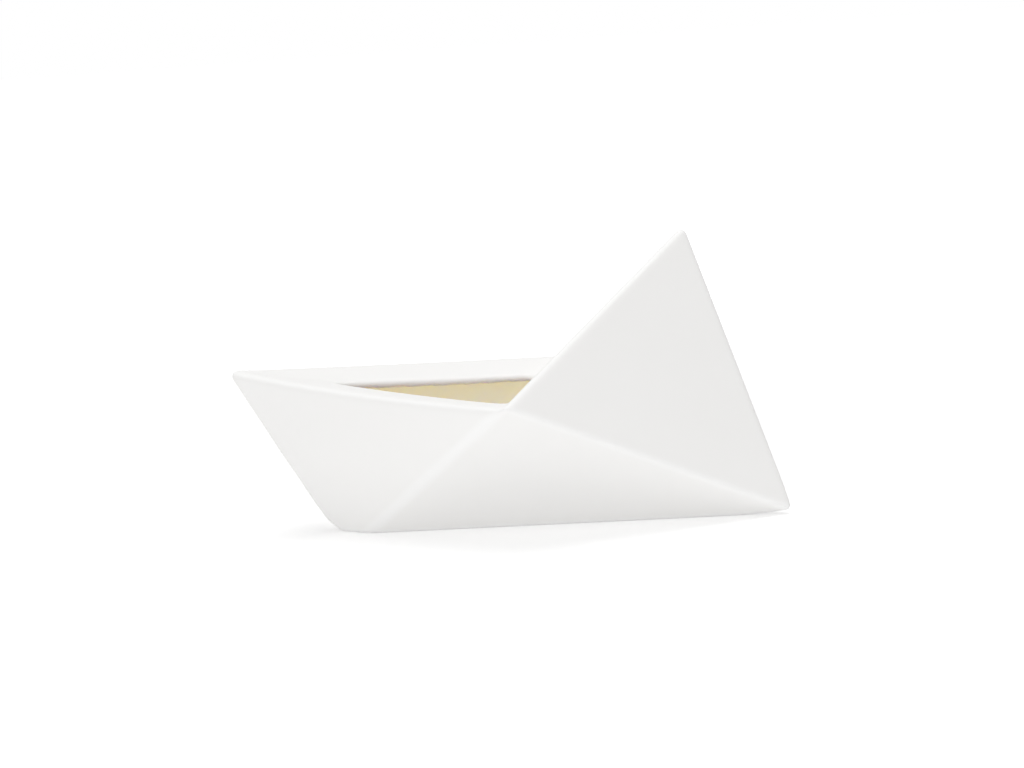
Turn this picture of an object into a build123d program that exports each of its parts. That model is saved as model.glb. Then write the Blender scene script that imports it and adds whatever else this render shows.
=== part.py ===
from build123d import *
from math import cos, radians, sin
import os

# Boat-shaped porcelain vase, slip-cast in one piece: the form of half a
# folded paper boat, with a triangular sail at the stern and a triangular
# mouth in the sunken deck. It is hollow all through, the sail too.
#
# The vase is worked out in a keel frame, whose X axis runs along the middle
# of the table from the bow to the stern, with Z upwards. At the end it is
# moved so that the origin is the middle of its box, on the table.

# Driving dimensions, in millimetres and degrees

# Corners of the folded form, before its edges are rounded. The foot is
# where the bow edge and the two chines would meet, below the table.
keel_length = 166.8
stern_height = 0.3
foot_depth = 9.8
bow_reach = 40.2
bow_height = 61.6
notch_from_foot = 75.9
notch_half_width = 54.1
notch_height = 52.1
peak_from_foot = 134.4
peak_height = 105.5

# Deck: how far its middle line would lie below the notches, at the sail
deck_sink = 8.0
deck_middle_radius = 25.0

# Blunt forefoot: how deep it cuts into the corner over the table, and how
# far its outward side is turned down from level
forefoot_cut = 3.4
forefoot_angle = 55

# Wall, and the radii of the cast edges
wall = 3.0
edge_radius = 2.0
inner_radius = 2.0

# Mouth, as it is cut down through the deck
mouth_front = 7.0
mouth_back = 70.5
mouth_half_width = 28.9
mouth_tip_radius = 0.8
mouth_corner_radius = 3.0
lip_radius = 1.6

# How far the block and the cutters run past what they cut
overrun = 20.0


# Corner points, in the keel frame
foot = Vector(0, 0, -foot_depth)
stern = Vector(keel_length, 0, stern_height)
bow = Vector(-bow_reach, 0, bow_height)
peak = Vector(peak_from_foot, 0, peak_height)
near_notch = Vector(notch_from_foot, -notch_half_width, notch_height)
far_notch = Vector(notch_from_foot, notch_half_width, notch_height)
deck_middle = Vector(notch_from_foot, 0, notch_height - deck_sink)

# A point well inside the hull, which tells the two sides of a face apart
hull_middle = Vector(notch_from_foot, 0, notch_height / 2)


def folded_face(first, second, third, inner_point=hull_middle):
    """Plane through three corners, with its normal pointing out of the vase."""
    normal = (second - first).cross(third - first).normalized()
    if normal.dot(inner_point - first) > 0:
        normal = -normal
    return Plane(origin=first, z_dir=normal)


# The faces of the near side, and those that cross the middle
table = Plane(origin=(0, 0, 0), z_dir=(0, 0, -1))
bow_face = folded_face(bow, near_notch, foot)
lower_face = folded_face(near_notch, stern, foot)
sail_side = folded_face(near_notch, peak, stern)
sail_front = folded_face(near_notch, far_notch, peak, stern)
deck_face = folded_face(bow, near_notch, deck_middle)

# The forefoot crosses the corner where the bow edge meets the table
forefoot_corner = Vector(-bow_reach * foot_depth / (bow_height + foot_depth), 0, 0)
forefoot_tilt = radians(forefoot_angle)
forefoot_normal = Vector(-cos(forefoot_tilt), 0, -sin(forefoot_tilt))
forefoot = Plane(origin=forefoot_corner - forefoot_normal * forefoot_cut, z_dir=forefoot_normal)


def half_block(faces, inset):
    """Block on the near side of the middle, cut by faces moved in by an inset."""
    with BuildPart() as block:
        with BuildSketch(Plane.XZ):
            with Locations((keel_length / 2, 0)):
                Rectangle(
                    keel_length + 2 * bow_reach + 2 * overrun,
                    2 * peak_height + 2 * overrun,
                )
        extrude(amount=notch_half_width + overrun)
        for face in faces:
            split(bisect_by=face.offset(-inset), keep=Keep.BOTTOM)
    return block.part


def folded_form(inset):
    """The whole folded form with sharp edges, moved in by an inset."""
    hull = half_block([table, bow_face, lower_face, sail_side, deck_face], inset)
    sail = half_block([table, bow_face, lower_face, sail_side, sail_front], inset)
    with BuildPart() as form:
        add([hull, sail])
        mirror(about=Plane.XZ)
    return form.part


# The space inside, which the slip leaves with rounded corners
with BuildPart() as hollow:
    add(folded_form(wall))
    fillet(hollow.edges(), inner_radius)


# The cast vase, in the keel frame
mouth_floor = notch_height - deck_sink - wall
with BuildPart() as cast:
    add(folded_form(0))
    split(bisect_by=forefoot, keep=Keep.BOTTOM)
    deck_fold = cast.edges().sort_by_distance((bow + deck_middle) / 2)[0]
    fillet(deck_fold, deck_middle_radius)
    fillet(cast.edges(), edge_radius)
    with BuildSketch(Plane.XY.offset(mouth_floor)) as mouth:
        with BuildLine():
            Polyline(
                (mouth_front, 0),
                (mouth_back, -mouth_half_width),
                (mouth_back, mouth_half_width),
                close=True,
            )
        make_face()
        fillet(mouth.vertices().sort_by(Axis.X)[0], mouth_tip_radius)
        fillet(mouth.vertices().sort_by(Axis.X)[-2:], mouth_corner_radius)
    extrude(amount=bow_height + overrun, mode=Mode.SUBTRACT)
    mouth_edges = cast.edges(Select.LAST).filter_by(Axis.Z, reverse=True)
    fillet(mouth_edges.filter_by(lambda edge: edge.center().Z > mouth_floor + wall), lip_radius)
    add(hollow.part, mode=Mode.SUBTRACT)

middle = cast.part.bounding_box().center()

# The same vase, standing over the origin
with BuildPart() as vase:
    with Locations((-middle.X, 0, 0)):
        add(cast.part)

vase.part.label = "vase"
os.makedirs("parts", exist_ok=True)
export_step(vase.part, "parts/vase.step")
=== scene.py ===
"""Looks of the boat-shaped porcelain vase, on a white studio floor.

The vase is matt white; its inside is painted cream, a painted warm glow of the
light that passes through the thin wall.
"""

import math

import bpy
import numpy as np
from mathutils import Matrix, Vector


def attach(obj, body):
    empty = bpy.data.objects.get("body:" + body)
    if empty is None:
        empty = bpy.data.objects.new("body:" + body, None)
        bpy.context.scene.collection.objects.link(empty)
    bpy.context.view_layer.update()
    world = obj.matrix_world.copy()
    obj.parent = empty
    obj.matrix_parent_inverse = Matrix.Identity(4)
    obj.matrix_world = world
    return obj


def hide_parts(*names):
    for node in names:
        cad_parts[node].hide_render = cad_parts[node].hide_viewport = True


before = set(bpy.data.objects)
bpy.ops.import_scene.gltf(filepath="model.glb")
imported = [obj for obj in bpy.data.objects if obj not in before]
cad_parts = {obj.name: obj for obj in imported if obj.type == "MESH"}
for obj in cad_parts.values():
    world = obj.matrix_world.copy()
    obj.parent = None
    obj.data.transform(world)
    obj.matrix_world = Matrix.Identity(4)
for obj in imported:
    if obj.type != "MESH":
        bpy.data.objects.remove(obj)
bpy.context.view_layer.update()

MM = 0.001

# Sizes of the folded form, as in the part's source, in millimetres
KEEL_LENGTH = 166.8
STERN_HEIGHT = 0.3
FOOT_DEPTH = 9.8
BOW_REACH = 40.2
BOW_HEIGHT = 61.6
NOTCH_FROM_FOOT = 75.9
NOTCH_HALF_WIDTH = 54.1
NOTCH_HEIGHT = 52.1
PEAK_FROM_FOOT = 134.4
PEAK_HEIGHT = 105.5
DECK_SINK = 8.0

# Corners of the folded form, in the keel frame of the part's source, whose X
# axis runs along the keel from the foot towards the stern
FOOT = (0, 0, -FOOT_DEPTH)
STERN = (KEEL_LENGTH, 0, STERN_HEIGHT)
BOW = (-BOW_REACH, 0, BOW_HEIGHT)
PEAK = (PEAK_FROM_FOOT, 0, PEAK_HEIGHT)
FAR_NOTCH = (NOTCH_FROM_FOOT, NOTCH_HALF_WIDTH, NOTCH_HEIGHT)
NEAR_NOTCH = (NOTCH_FROM_FOOT, -NOTCH_HALF_WIDTH, NOTCH_HEIGHT)
DECK_MIDDLE = (NOTCH_FROM_FOOT, 0, NOTCH_HEIGHT - DECK_SINK)

# Where the bow edge meets the table, and a point well inside the hull
FOREFOOT = (-BOW_REACH * FOOT_DEPTH / (BOW_HEIGHT + FOOT_DEPTH), 0, 0)
HULL_MIDDLE = (NOTCH_FROM_FOOT, 0, NOTCH_HEIGHT / 2)

# The scene's origin, in the keel frame: the middle of the vase's box
KEEL_MIDDLE = 64.38

# How the cast form departs from the flat folded faces, in millimetres: sides
# that bow outward, a gunwale that dips, and the mouth's tip drawn forward
SIDE_BOW = 4.1
SHEER_DIP = 0.95
TIP_REACH = 4.5

# Heights over which the dip and the reach set in, and the stretches of the
# keel over which the reach grows and fades again
GUNWALE_RISE = (0.4 * NOTCH_HEIGHT, 0.8 * NOTCH_HEIGHT)
TIP_RISE = (-25.0, 4.0)
TIP_FADE = (8.0, 50.0)

# Shares of the half width over which the reach fades to the sides, and the
# half width that the bow itself counts as having
BESIDE_FADE = (0.35, 0.85)
BOW_HALF_WIDTH = 1.0

# Voxel of the finer mesh, in millimetres, and how often and how strongly the
# mesh is softened, at the folds and all over
VOXEL = 0.7
SOFT_ROUNDS = 14
FOLD_SOFTNESS = 0.5
SKIN_SOFTNESS = 0.2

# Where the softening fades or sets in, in millimetres from the folds, from
# the ends of the keel and from the notches, and in heights above the table,
# first at the folds and then all over
FOLD_FADE = (2.5, 6.0)
KEEL_END_FADE = (7.0, 11.0)
NOTCH_RISE = (4.0, 9.0)
FOLD_RISE = (0.0, 2.5)
SKIN_RISE = (0.0, 1.0)

# Colours of the porcelain: white and cream each vary between two shades; the cream
# inside is a painted warm glow, and the paler white on the folds a painted highlight
WHITE_SHADES = ((0.915, 0.908, 0.895), (0.93, 0.925, 0.915))
PAINTED_GLOW_SHADES = ((0.975, 0.82, 0.70), (0.985, 0.835, 0.72))
PAINTED_HIGHLIGHT_WHITE = (0.948, 0.945, 0.938)

# Distances from the folded faces, in millimetres, over which the painted highlight
# on the folds sets in, white turns to the painted cream glow and light begins to
# pass through the wall
PAINTED_HIGHLIGHT_RANGE = (-2.2, -0.4)
PAINTED_GLOW_RANGE = (-0.8, -2.8)
THROUGH_RANGE = (-1.4, -2.3)
THROUGH_COLOUR = (1.0, 0.5, 0.18)
THROUGH_LENGTH = 80.0

# Scales of the clouds, the unevenness and the grain, in cycles per metre
WHITE_CLOUDS = 35.0
PAINTED_GLOW_CLOUDS = 60.0
UNEVENNESS = 38.0
GRAIN = 2600.0

# Gloss of the bisque, and its bump: heights in units of BUMP_UNIT, which is
# in millimetres
LEAST_ROUGHNESS = 0.52
ROUGHNESS_SPREAD = 0.12
REFRACTION = 1.5
SPECULAR_LEVEL = 0.4
UNEVEN_HEIGHT = 3.0
GRAIN_HEIGHT = 0.06
BUMP_UNIT = 0.15
BUMP_STRENGTH = 0.5

# Camera, from the fit of the folded form to the photo
PICTURE_WIDTH = 1024
PICTURE_HEIGHT = 768
TARGET_PIXEL = (528.8, 367.5)
TARGET_FROM_FOOT = 74.4
TARGET_HEIGHT = 56.4
TARGET = Vector((TARGET_FROM_FOOT - KEEL_MIDDLE, 0, TARGET_HEIGHT)) * MM
CAMERA_AZIMUTH = math.radians(12.0)
CAMERA_ELEVATION = math.radians(9.5)
CAMERA_ROLL = math.radians(-4.75)
CAMERA_DISTANCE = 1037.5 * MM
FOCAL_PIXELS = 2922.5
SENSOR_WIDTH = 36.0

# Nearest and furthest that the camera sees, in metres
NEAREST_SEEN = 0.05
FURTHEST_SEEN = 50.0

# Lamps, with places and sizes in metres, and the even light from all round
TOP_PLACE = (0.0, 0.1, 1.6)
TOP_SIZE = 1.2
TOP_WATTS = 12.2
FRONT_PLACE = (-0.15, -1.75, 0.46)
FRONT_SIZE = 0.6
FRONT_WATTS = 7.0
WORLD_LIGHT = 0.49

# Floor, in metres: its glow on the vase, and its further glow to the camera,
# which grows with the distance from the middle over SEEN_RISE
FLOOR_SIZE = 6.0
FLOOR_COLOUR = (0.85, 0.85, 0.85)
FLOOR_ROUGHNESS = 0.9
FLOOR_GLOW = 0.15
SEEN_GLOW = 0.16
SEEN_RISE = (0.2, 0.9)

WHITE = (1, 1, 1)
OPAQUE = 1

# The colour sockets of the Mix node, which have no names of their own
MIX_FIRST = 6
MIX_SECOND = 7
MIX_RESULT = 2


def add_camera():
    """Camera at the photo's viewing angle."""
    azimuth, elevation, roll = CAMERA_AZIMUTH, CAMERA_ELEVATION, CAMERA_ROLL
    back = Vector((
        math.sin(azimuth) * math.cos(elevation),
        -math.cos(azimuth) * math.cos(elevation),
        math.sin(elevation),
    ))
    level_right = Vector((math.cos(azimuth), math.sin(azimuth), 0))
    level_up = back.cross(level_right)
    right = math.cos(roll) * level_right + math.sin(roll) * level_up
    up = math.cos(roll) * level_up - math.sin(roll) * level_right
    eye = TARGET + CAMERA_DISTANCE * back

    # The camera aims beside the target, which brings the target to its pixel
    metres_per_pixel = CAMERA_DISTANCE / FOCAL_PIXELS
    aim = TARGET
    aim = aim - right * (TARGET_PIXEL[0] - PICTURE_WIDTH / 2) * metres_per_pixel
    aim = aim + up * (TARGET_PIXEL[1] - PICTURE_HEIGHT / 2) * metres_per_pixel
    back = (eye - aim).normalized()
    right = (right - right.dot(back) * back).normalized()
    up = back.cross(right)

    data = bpy.data.cameras.new("camera")
    data.sensor_width = SENSOR_WIDTH
    data.lens = FOCAL_PIXELS * SENSOR_WIDTH / PICTURE_WIDTH
    data.clip_start = NEAREST_SEEN
    data.clip_end = FURTHEST_SEEN
    camera = bpy.data.objects.new("camera", data)
    camera.matrix_world = Matrix((
        (right.x, up.x, back.x, eye.x),
        (right.y, up.y, back.y, eye.y),
        (right.z, up.z, back.z, eye.z),
        (0, 0, 0, 1),
    ))
    bpy.context.scene.collection.objects.link(camera)
    bpy.context.scene.camera = camera


def face_plane(first, second, third, inner_point=HULL_MIDDLE):
    """Outward normal of the plane through three corners, and its distance from the origin."""
    first, second, third = Vector(first), Vector(second), Vector(third)
    normal = (second - first).cross(third - first).normalized()
    if normal.dot(Vector(inner_point) - first) > 0:
        normal = -normal
    return normal, normal.dot(first)


def fold(points):
    """Points of the keel frame, all mirrored to the far side of the keel."""
    return np.stack((points[:, 0], np.abs(points[:, 1]), points[:, 2]), axis=1)


def folded_faces(points):
    """Distances of points from the nearest and from the second nearest outer face.

    They are negative inside the form. The faces are alike on both sides of the
    keel, and the second distance is small only beside an edge.
    """
    folded = fold(points)

    def level(plane):
        normal, distance = plane
        return folded @ np.array(normal) - distance

    # The hull below its deck and the sail behind its front, taken together
    depth = np.minimum(
        level(face_plane(BOW, FAR_NOTCH, DECK_MIDDLE)),
        level(face_plane(NEAR_NOTCH, FAR_NOTCH, PEAK, STERN)),
    )
    edge = np.full(len(points), -np.inf)
    for plane in (
        face_plane(BOW, FAR_NOTCH, FOOT),
        face_plane(FAR_NOTCH, STERN, FOOT),
        face_plane(FAR_NOTCH, PEAK, STERN),
        (Vector((0, 0, -1)), 0.0),
    ):
        edge = np.maximum(edge, np.minimum(depth, level(plane)))
        depth = np.maximum(depth, level(plane))
    return depth, edge


def smooth_step(value, low, high):
    """Smooth step of a value, from 0 at low to 1 at high."""
    share = np.clip((value - low) / (high - low), 0, 1)
    return share * share * (3 - 2 * share)


def from_point(points, place):
    """Distance of each point from a place."""
    return np.linalg.norm(points - place, axis=1)


def from_line(points, start, end):
    """Distance of each point from the line between two corners."""
    start, end = np.array(start), np.array(end)
    along = end - start
    share = np.clip((points - start) @ along / (along @ along), 0, 1)
    return from_point(points, start + share[:, None] * along)


def soften(points, edges, weight):
    """Points drawn to the middle of their neighbours, each by its own weight."""
    count = np.bincount(edges.ravel(), minlength=len(points))[:, None]
    for _ in range(SOFT_ROUNDS):
        total = np.empty_like(points)
        for axis in range(3):
            ahead = np.bincount(edges[:, 0], points[edges[:, 1], axis], len(points))
            behind = np.bincount(edges[:, 1], points[edges[:, 0], axis], len(points))
            total[:, axis] = ahead + behind
        points = points + weight[:, None] * (total / count - points)
    return points


def soft_folds(points, edges):
    """The folds of the sides and the two ends of the keel, rounder than the other edges."""
    folded = fold(points)
    from_fold = np.minimum(
        from_line(folded, FOOT, FAR_NOTCH),
        from_line(folded, FAR_NOTCH, STERN),
    )
    from_end = np.minimum(from_point(folded, STERN), from_point(folded, FOREFOOT))
    weight = 1 - np.minimum(
        smooth_step(from_fold, *FOLD_FADE),
        smooth_step(from_end, *KEEL_END_FADE),
    )
    weight = weight * smooth_step(from_point(folded, FAR_NOTCH), *NOTCH_RISE)
    weight = FOLD_SOFTNESS * weight * smooth_step(points[:, 2], *FOLD_RISE)
    points = soften(points, edges, weight)
    return soften(points, edges, SKIN_SOFTNESS * smooth_step(points[:, 2], *SKIN_RISE))


def swell(points):
    """Sides that bow outward, a gunwale that dips, and the mouth's tip drawn forward."""
    x, y, z = points.T

    # Seen from the side, a line from the foot through each point meets the
    # gunwale at this share of its length, from 0 at the bow to 1 at the notch
    length = BOW_REACH + NOTCH_FROM_FOOT
    slope = x / (z + FOOT_DEPTH)
    share = BOW_REACH + (BOW_HEIGHT + FOOT_DEPTH) * slope
    share = np.clip(share / (length + (BOW_HEIGHT - NOTCH_HEIGHT) * slope), 0, 1)

    # The gunwale's half width grows with the share, so that this widening moves
    # it out by SIDE_BOW at its middle and not at its ends, as the dip does
    high = smooth_step(z, *GUNWALE_RISE)
    widening = 4 * SIDE_BOW / NOTCH_HALF_WIDTH * (1 - share)
    dip = 4 * SHEER_DIP * share * (1 - share) * high

    # The mouth's tip moves forward along the deck
    beside = np.abs(y) / (NOTCH_HALF_WIDTH * share + BOW_HALF_WIDTH)
    drawn = TIP_REACH * high * smooth_step(x, *TIP_RISE) * (1 - smooth_step(x, *TIP_FADE))
    drawn = drawn * (1 - smooth_step(beside, *BESIDE_FADE))
    deck_slope = (BOW_HEIGHT - NOTCH_HEIGHT + DECK_SINK) / length
    return np.stack((x - drawn, y * (1 + widening), z + deck_slope * drawn - dip), axis=1)


def voxel_mesh(vase):
    """New mesh of an object, made of small voxels."""
    remesh = vase.modifiers.new("voxels", "REMESH")
    remesh.mode = "VOXEL"
    remesh.voxel_size = VOXEL * MM
    seen = vase.evaluated_get(bpy.context.evaluated_depsgraph_get())
    mesh = bpy.data.meshes.new_from_object(seen)
    vase.modifiers.clear()
    return mesh


def cast_vase(cad):
    """Finer mesh of the CAD's vase for the eye, with softer folds and bowed sides."""
    vase = cad.copy()
    vase.data = cad.data.copy()
    vase.name = "cast_vase"
    bpy.context.scene.collection.objects.link(vase)
    mesh = voxel_mesh(vase)
    vase.data = mesh

    points = np.empty(3 * len(mesh.vertices))
    mesh.vertices.foreach_get("co", points)
    points = points.reshape(-1, 3) / MM + (KEEL_MIDDLE, 0, 0)
    for name, values in zip(("depth", "edge"), folded_faces(points)):
        layer = mesh.attributes.new(name, "FLOAT", "POINT")
        layer.data.foreach_set("value", values.astype(np.float32))

    edges = np.empty(2 * len(mesh.edges), dtype=np.int32)
    mesh.edges.foreach_get("vertices", edges)
    points = swell(soft_folds(points, edges.reshape(-1, 2)))
    points = (points - (KEEL_MIDDLE, 0, 0)) * MM
    mesh.vertices.foreach_set("co", points.ravel())
    mesh.polygons.foreach_set("use_smooth", np.ones(len(mesh.polygons), dtype=bool))
    mesh.update()

    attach(vase, "root")
    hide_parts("vase")
    return vase


class Nodes:
    """Short calls that build one node tree."""

    def __init__(self, tree):
        self.tree = tree

    def add(self, kind, **values):
        node = self.tree.nodes.new(kind)
        for name, value in values.items():
            setattr(node, name, value)
        return node

    def join(self, source, target):
        self.tree.links.new(source, target)

    def math(self, operation, *values):
        node = self.add("ShaderNodeMath", operation=operation)
        for socket, value in zip(node.inputs, values):
            if isinstance(value, (int, float)):
                socket.default_value = value
            else:
                self.join(value, socket)
        return node.outputs[0]

    def ramp(self, value, low, high):
        """Smooth step of a value, from 0 at low to 1 at high."""
        node = self.add("ShaderNodeMapRange", interpolation_type="SMOOTHSTEP")
        self.join(value, node.inputs["Value"])
        node.inputs["From Min"].default_value = low
        node.inputs["From Max"].default_value = high
        return node.outputs["Result"]

    def noise(self, point, scale, detail, roughness=0.5):
        node = self.add("ShaderNodeTexNoise")
        self.join(point, node.inputs["Vector"])
        node.inputs["Scale"].default_value = scale
        node.inputs["Detail"].default_value = detail
        node.inputs["Roughness"].default_value = roughness
        return node.outputs["Fac"]

    def mix(self, factor, first, second):
        node = self.add("ShaderNodeMix", data_type="RGBA")
        self.join(factor, node.inputs["Factor"])
        for place, value in ((MIX_FIRST, first), (MIX_SECOND, second)):
            if isinstance(value, tuple):
                node.inputs[place].default_value = (*value, OPAQUE)
            else:
                self.join(value, node.inputs[place])
        return node.outputs[MIX_RESULT]


def porcelain():
    """Matt bisque porcelain, white, with a painted cream glow inside.

    It has a fine grain, and a painted highlight makes its folds paler.
    """
    material = bpy.data.materials.new("porcelain")
    material.use_nodes = True
    nodes = Nodes(material.node_tree)
    shader = material.node_tree.nodes["Principled BSDF"]
    point = nodes.add("ShaderNodeTexCoord").outputs["Object"]

    # In millimetres, from the folded faces of the mesh before its sides are bowed
    depth = nodes.add("ShaderNodeAttribute", attribute_name="depth").outputs["Fac"]
    edge = nodes.add("ShaderNodeAttribute", attribute_name="edge").outputs["Fac"]

    white = nodes.mix(nodes.noise(point, WHITE_CLOUDS, detail=3.0), *WHITE_SHADES)
    # Painted highlight: the folds are painted paler, where light catches them
    painted_highlight = nodes.ramp(edge, *PAINTED_HIGHLIGHT_RANGE)
    white = nodes.mix(painted_highlight, white, PAINTED_HIGHLIGHT_WHITE)
    # Painted warm glow: the inside is painted cream for the light that passes through the
    # thin wall and bounces inside
    painted_glow = nodes.mix(nodes.noise(point, PAINTED_GLOW_CLOUDS, detail=3.0), *PAINTED_GLOW_SHADES)
    inside = nodes.ramp(depth, *PAINTED_GLOW_RANGE)
    nodes.join(nodes.mix(inside, white, painted_glow), shader.inputs["Base Color"])

    # The wall is thin and lets light through, which shows on the shaded inside
    nodes.join(nodes.ramp(depth, *THROUGH_RANGE), shader.inputs["Subsurface Weight"])
    shader.inputs["Subsurface Radius"].default_value = THROUGH_COLOUR
    shader.inputs["Subsurface Scale"].default_value = THROUGH_LENGTH * MM

    grain = nodes.noise(point, GRAIN, detail=4.0, roughness=0.6)
    rough = nodes.math("MULTIPLY_ADD", grain, ROUGHNESS_SPREAD, LEAST_ROUGHNESS)
    nodes.join(rough, shader.inputs["Roughness"])
    shader.inputs["IOR"].default_value = REFRACTION
    shader.inputs["Specular IOR Level"].default_value = SPECULAR_LEVEL

    uneven = nodes.noise(point, UNEVENNESS, detail=2.0)
    grain_height = nodes.math("MULTIPLY", grain, GRAIN_HEIGHT)
    height = nodes.math("MULTIPLY_ADD", uneven, UNEVEN_HEIGHT, grain_height)
    bump = nodes.add("ShaderNodeBump")
    nodes.join(height, bump.inputs["Height"])
    bump.inputs["Distance"].default_value = BUMP_UNIT * MM
    bump.inputs["Strength"].default_value = BUMP_STRENGTH
    nodes.join(bump.outputs["Normal"], shader.inputs["Normal"])
    return material


def camera_sees(nodes):
    """1 where the camera looks straight, in a reflection or through glass.

    It is 0 for the light that falls on surfaces.
    """
    path = nodes.add("ShaderNodeLightPath")
    seen = nodes.math("MAXIMUM", path.outputs["Is Camera Ray"], path.outputs["Is Glossy Ray"])
    return nodes.math("MAXIMUM", seen, path.outputs["Is Transmission Ray"])


def floor_material():
    """Plain pale floor that keeps the vase's shadow, and shows white around it."""
    material = bpy.data.materials.new("floor")
    material.use_nodes = True
    nodes = Nodes(material.node_tree)
    shader = material.node_tree.nodes["Principled BSDF"]
    shader.inputs["Base Color"].default_value = (*FLOOR_COLOUR, OPAQUE)
    shader.inputs["Roughness"].default_value = FLOOR_ROUGHNESS
    shader.inputs["Specular IOR Level"].default_value = 0.0
    shader.inputs["Emission Color"].default_value = (*WHITE, OPAQUE)
    from_middle = nodes.add("ShaderNodeVectorMath", operation="LENGTH")
    nodes.join(nodes.add("ShaderNodeNewGeometry").outputs["Position"], from_middle.inputs[0])
    around = nodes.ramp(from_middle.outputs["Value"], *SEEN_RISE)
    seen = nodes.math("ADD", around, SEEN_GLOW)
    glow = nodes.math("MULTIPLY_ADD", camera_sees(nodes), seen, FLOOR_GLOW)
    nodes.join(glow, shader.inputs["Emission Strength"])
    return material


def add_floor():
    """Floor that the vase stands on."""
    bpy.ops.mesh.primitive_plane_add(size=FLOOR_SIZE, location=(0, 0, 0))
    floor = bpy.context.object
    floor.name = "floor"
    floor.data.materials.append(floor_material())


def area_lamp(name, place, size, watts):
    """Square soft lamp at a place, aimed at the vase."""
    data = bpy.data.lights.new(name, "AREA")
    data.size = size
    data.energy = watts
    lamp = bpy.data.objects.new(name, data)
    lamp.location = place
    lamp.rotation_euler = (Vector(place) - TARGET).to_track_quat("Z", "Y").to_euler()
    bpy.context.scene.collection.objects.link(lamp)


def add_light():
    """Soft studio light from all round, with two lamps.

    A large one is above, and a smaller one low in front reaches the inside.
    """
    world = bpy.data.worlds.new("studio")
    bpy.context.scene.world = world
    world.use_nodes = True
    nodes = Nodes(world.node_tree)
    background = world.node_tree.nodes["Background"]
    strength = nodes.math("MULTIPLY_ADD", camera_sees(nodes), 1.0 - WORLD_LIGHT, WORLD_LIGHT)
    nodes.join(strength, background.inputs["Strength"])
    background.inputs["Color"].default_value = (*WHITE, OPAQUE)
    area_lamp("top_lamp", TOP_PLACE, TOP_SIZE, TOP_WATTS)
    area_lamp("front_lamp", FRONT_PLACE, FRONT_SIZE, FRONT_WATTS)


add_camera()
add_floor()
add_light()
vase = cast_vase(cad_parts["vase"])
vase.data.materials.clear()
vase.data.materials.append(porcelain())
bpy.context.scene.view_settings.view_transform = "Standard"
